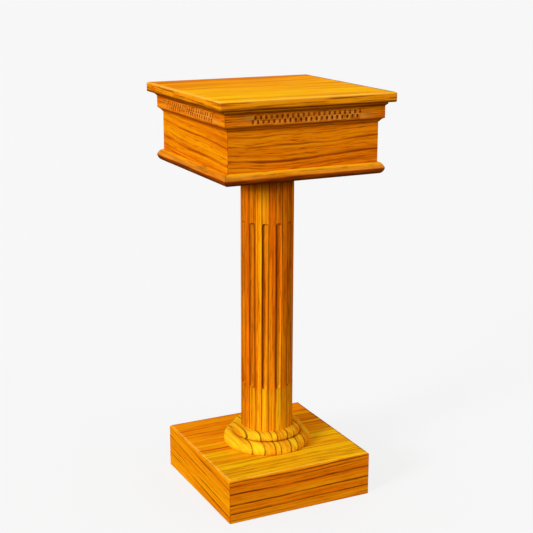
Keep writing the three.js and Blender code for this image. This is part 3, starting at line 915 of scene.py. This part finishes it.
def make_column():
    pitch = 180 // FLUTES  # in degrees, from one stave to the next
    for i in range(2 * FLUTES):
        angle = pitch * i if i <= FLUTES else pitch * i - 360
        fluted = i % 2 == 0
        kind = "flute" if fluted else "land"
        drawn = (shades.uniform(-0.15, 0.08), shades.uniform(-0.35, 0.4))
        shade, gold = STAVE_CHARACTERS.get(angle, drawn)
        node = f"{kind}_stave_{i // 2 + 1:02d}"
        turn = math.radians(angle) - math.pi / 2
        make_stave(f"oak_{node}", node, turn, fluted, timber(shade, gold))


# ---- Collar -------------------------------------------------------------------------------------

# Shade and gold of the collar's boards, from left to right: partly each board's own tone and partly painted
# light, yellower on the left where the light falls and darker on the right.
COLLAR_CHARACTERS = (
    (0.0, 0.4), (0.03, 0.5), (0.02, 0.3), (0.05, 0.0),
    (0.02, 0.25), (0.06, 0.2), (-0.04, -0.1), (-0.06, -0.1),
)


def roll(shape, top):
    """Points up a roll from its lower end to its crown."""
    centre = COLUMN_RADIUS + shape["reach"] - shape["radius"]
    start = -math.degrees(math.asin(shape["height"] / shape["radius"] - 1))
    radii = (shape["radius"], shape["radius"])
    return quarter((centre, top - shape["radius"]), radii, start, 90, ROLL_STEPS)


def collar_profile():
    """The collar's closed profile as (radius, height), and the radius of the quirk between rolls."""
    bore = (COLUMN_RADIUS + GLUE_LINE) / math.cos(math.pi / BORE_SIDES)
    lower_top = PLINTH_TOP + LOWER_ROLL["height"]
    upper_bottom = lower_top + QUIRK_HEIGHT
    upper_top = upper_bottom + UPPER_ROLL["height"]
    upper = roll(UPPER_ROLL, upper_top)
    quirk = upper[0][0] - QUIRK_DEPTH
    profile = [(bore, PLINTH_TOP)] + roll(LOWER_ROLL, lower_top)
    profile += [(quirk, lower_top), (quirk, upper_bottom)] + upper + [(bore, upper_top)]
    return profile, quirk


def turned_ring(profile):
    """The whole collar, before it is parted along its joints."""
    ring = bmesh.new()
    count = len(profile)
    for i in range(COLLAR_STEPS):
        angle = 2 * math.pi * (i + 0.5) / COLLAR_STEPS
        for radius, height in profile:
            ring.verts.new((radius * math.cos(angle), radius * math.sin(angle), height))
    ring.verts.ensure_lookup_table()
    for i in range(COLLAR_STEPS):
        here, there = i * count, (i + 1) % COLLAR_STEPS * count
        for j in range(count):
            k = (j + 1) % count
            ring.faces.new([ring.verts[n] for n in (here + j, there + j, there + k, here + k)])
    return ring


def slice_ring(ring, left, right, side):
    """The part of the ring between two upright planes, closed where it was cut. side is -1 for the
    part in front of the column, 1 for the part behind it and 0 for both."""
    part = ring.copy()
    for x, normal in ((left, -1), (right, 1)):
        everything = part.verts[:] + part.edges[:] + part.faces[:]
        cut = bmesh.ops.bisect_plane(part, geom=everything, dist=1e-7, plane_co=(x, 0, 0),
                                     plane_no=(normal, 0, 0), clear_outer=True)
        rim = [e for e in cut["geom_cut"] if isinstance(e, bmesh.types.BMEdge)]
        on_plane = {v for e in rim for v in e.verts}
        welds = {}
        for edge in part.edges:
            a, b = edge.verts
            if (a in on_plane) != (b in on_plane) and edge.calc_length() < SHORT_EDGE:
                keep, drop = (a, b) if a in on_plane else (b, a)
                welds.setdefault(drop, keep)
        bmesh.ops.weld_verts(part, targetmap=welds)
        bmesh.ops.remove_doubles(part, verts=[v for v in on_plane if v.is_valid], dist=JOINT_STEP)
        bmesh.ops.edgeloop_fill(part, edges=[e for e in part.edges if e.is_boundary])
    if side:
        beyond = [v for v in part.verts if v.co.y * side < 0]
        bmesh.ops.delete(part, geom=beyond, context="VERTS")
    part.verts.ensure_lookup_table()
    part.verts.index_update()
    return part


def make_collar():
    profile, quirk = collar_profile()
    ring = turned_ring(profile)
    quirk_middle = PLINTH_TOP + LOWER_ROLL["height"] + QUIRK_HEIGHT / 2
    for node in sorted(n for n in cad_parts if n.startswith("collar_")):
        low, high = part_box(node)
        number = int(node[-1])
        part = slice_ring(ring, low.x, high.x, {"front": -1, "back": 1}.get(node.split("_")[1], 0))
        points = [tuple(v.co) for v in part.verts]
        faces = [[v.index for v in f.verts] for f in part.faces]
        boards = [(y, x, z - PLINTH_TOP) for x, y, z in points]
        seams = []
        for x, y, z in points:
            # Painted shade in the quirk between the rolls and where the collar meets the plinth.
            inmost = abs(math.hypot(x, y) - quirk) < QUIRK_FLOOR
            in_quirk = inmost and abs(z - quirk_middle) < QUIRK_HEIGHT
            at_foot = z - PLINTH_TOP < COLLAR_SHADE
            to_left = x - low.x if number > 1 else FAR
            to_right = high.x - x if number < len(COLLAR_CHARACTERS) else FAR
            seams.append((to_left, to_right, 1.2 if in_quirk else 0.6 if at_foot else 0.0))
        character = timber(*COLLAR_CHARACTERS[number - 1])
        piece(f"oak_{node}", points, faces, boards, seams, "collar", character, [node],
              ease=COLLAR_EASE)
        part.free()
    ring.free()


def refinish(finish, *nodes):
    """Gives nodes that stay as packed, inside the stand, their finish."""
    for node in nodes:
        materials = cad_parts[node].data.materials
        materials.clear()
        materials.append(FINISHES[finish])


make_top_board()
make_box()
make_trim()
make_crown()
make_column()
make_collar()
make_plinth_top()
make_plinth_sides()
refinish("inside", "soffit_board", "column_head_plug")
refinish("steel", "tie_rod", "flange_nut_upper", "flange_nut_lower")

# ---- Floor, light and camera --------------------------------------------------------------------

PAPER = stain(247, 247, 247)
FLOOR_REACH = 30.0
FLOOR_BOUNCE = (0.14, 0.14, 0.14, 1)  # the floor's colour for the light that it throws back
FLOOR_GLOW = 0.85  # the share of the floor's brightness that no shadow dims
SKY_LEVEL = 0.42

# Name, direction from the stand to the lamp, strength, and width in degrees.
LAMPS = (
    ("key", (-0.88, -0.32, 0.36), 2.45, 18),
    ("overhead", (0.0, 0.0, 1.0), 0.8, 40),
    ("front_fill", (0.45, -1.0, 0.12), 0.72, 40),
    ("back_fill", (0.75, 0.65, 0.2), 0.3, 50),
)
LAMP_DISTANCE = 4

PICTURE_WIDTH = 533  # in pixels
FOCAL_LENGTH = 1174.65  # in pixels
SENSOR_WIDTH = 36.0
CAMERA_AZIMUTH = math.radians(-26.25)
CAMERA_ELEVATION = math.radians(15.02)
CAMERA_ROLL = math.radians(0.15)
CAMERA_TARGET = Vector((-1.9 * MM, -0.7 * MM, 515 * MM))
CAMERA_DISTANCE = 2626 * MM


def seen(shader):
    """1 for what the camera, a reflection or a view through glass meets, and 0 for lighting."""
    path = shader.node("LightPath", None, None, "Is Camera Ray")
    rays = path.output.node.outputs
    both = path + Value(shader, rays["Is Glossy Ray"]) + Value(shader, rays["Is Transmission Ray"])
    return both.clamped()


def make_floor():
    """A pale floor that keeps the stand's shadow, and that a view from below looks through."""
    material, shader = new_material("pale_floor")
    bounce = shader.node("BsdfDiffuse", None, {"Color": FLOOR_BOUNCE})
    matt = shader.node("BsdfDiffuse", None, {"Color": PAPER})
    glow = shader.node("Emission", None, {"Color": PAPER, "Strength": 1.0})
    shown = shader.node("MixShader", None, {0: FLOOR_GLOW, 1: matt, 2: glow})
    upper = shader.node("MixShader", None, {0: seen(shader), 1: bounce, 2: shown})
    below = shader.node("NewGeometry", None, None, "Backfacing")
    clear = shader.node("BsdfTransparent")
    both = shader.node("MixShader", None, {0: below, 1: upper, 2: clear})
    shader.node("OutputMaterial", None, {"Surface": both})
    mesh = bpy.data.meshes.new("floor")
    corners = [(FLOOR_REACH * x, FLOOR_REACH * y, 0) for x, y in ((-1, -1), (1, -1), (1, 1), (-1, 1))]
    mesh.from_pydata(corners, [], [(0, 1, 2, 3)])
    mesh.materials.append(material)
    floor = bpy.data.objects.new("floor", mesh)
    bpy.context.scene.collection.objects.link(floor)


def make_world():
    world = bpy.data.worlds.new("studio")
    world.use_nodes = True
    bpy.context.scene.world = world
    shader = Shader(world.node_tree)
    fill = shader.node("Background", None, {"Color": (1, 1, 1, 1), "Strength": SKY_LEVEL})
    paper = shader.node("Background", None, {"Color": PAPER, "Strength": 1.0})
    both = shader.node("MixShader", None, {0: seen(shader), 1: fill, 2: paper})
    shader.node("OutputWorld", None, {"Surface": both})


def make_lamp(name, direction, strength, width):
    data = bpy.data.lights.new(name, "SUN")
    data.energy = strength
    data.angle = math.radians(width)
    lamp = bpy.data.objects.new(name, data)
    lamp.rotation_mode = "QUATERNION"
    lamp.rotation_quaternion = Vector(direction).to_track_quat("Z", "Y")
    lamp.location = Vector(direction).normalized() * LAMP_DISTANCE
    bpy.context.scene.collection.objects.link(lamp)


def make_camera():
    level = math.cos(CAMERA_ELEVATION)
    back = Vector((math.sin(CAMERA_AZIMUTH) * level, -math.cos(CAMERA_AZIMUTH) * level,
                   math.sin(CAMERA_ELEVATION)))
    data = bpy.data.cameras.new("camera")
    data.sensor_width = SENSOR_WIDTH
    data.lens = FOCAL_LENGTH / PICTURE_WIDTH * SENSOR_WIDTH
    data.clip_start = 0.05
    data.clip_end = 100.0
    camera = bpy.data.objects.new("camera", data)
    camera.rotation_mode = "QUATERNION"
    camera.location = CAMERA_TARGET + back * CAMERA_DISTANCE
    upright = (-back).to_track_quat("-Z", "Y")
    camera.rotation_quaternion = upright @ Quaternion((0, 0, 1), CAMERA_ROLL)
    bpy.context.scene.collection.objects.link(camera)
    bpy.context.scene.camera = camera


make_floor()
make_world()
for lamp in LAMPS:
    make_lamp(*lamp)
make_camera()
bpy.context.scene.view_settings.view_transform = "Standard"
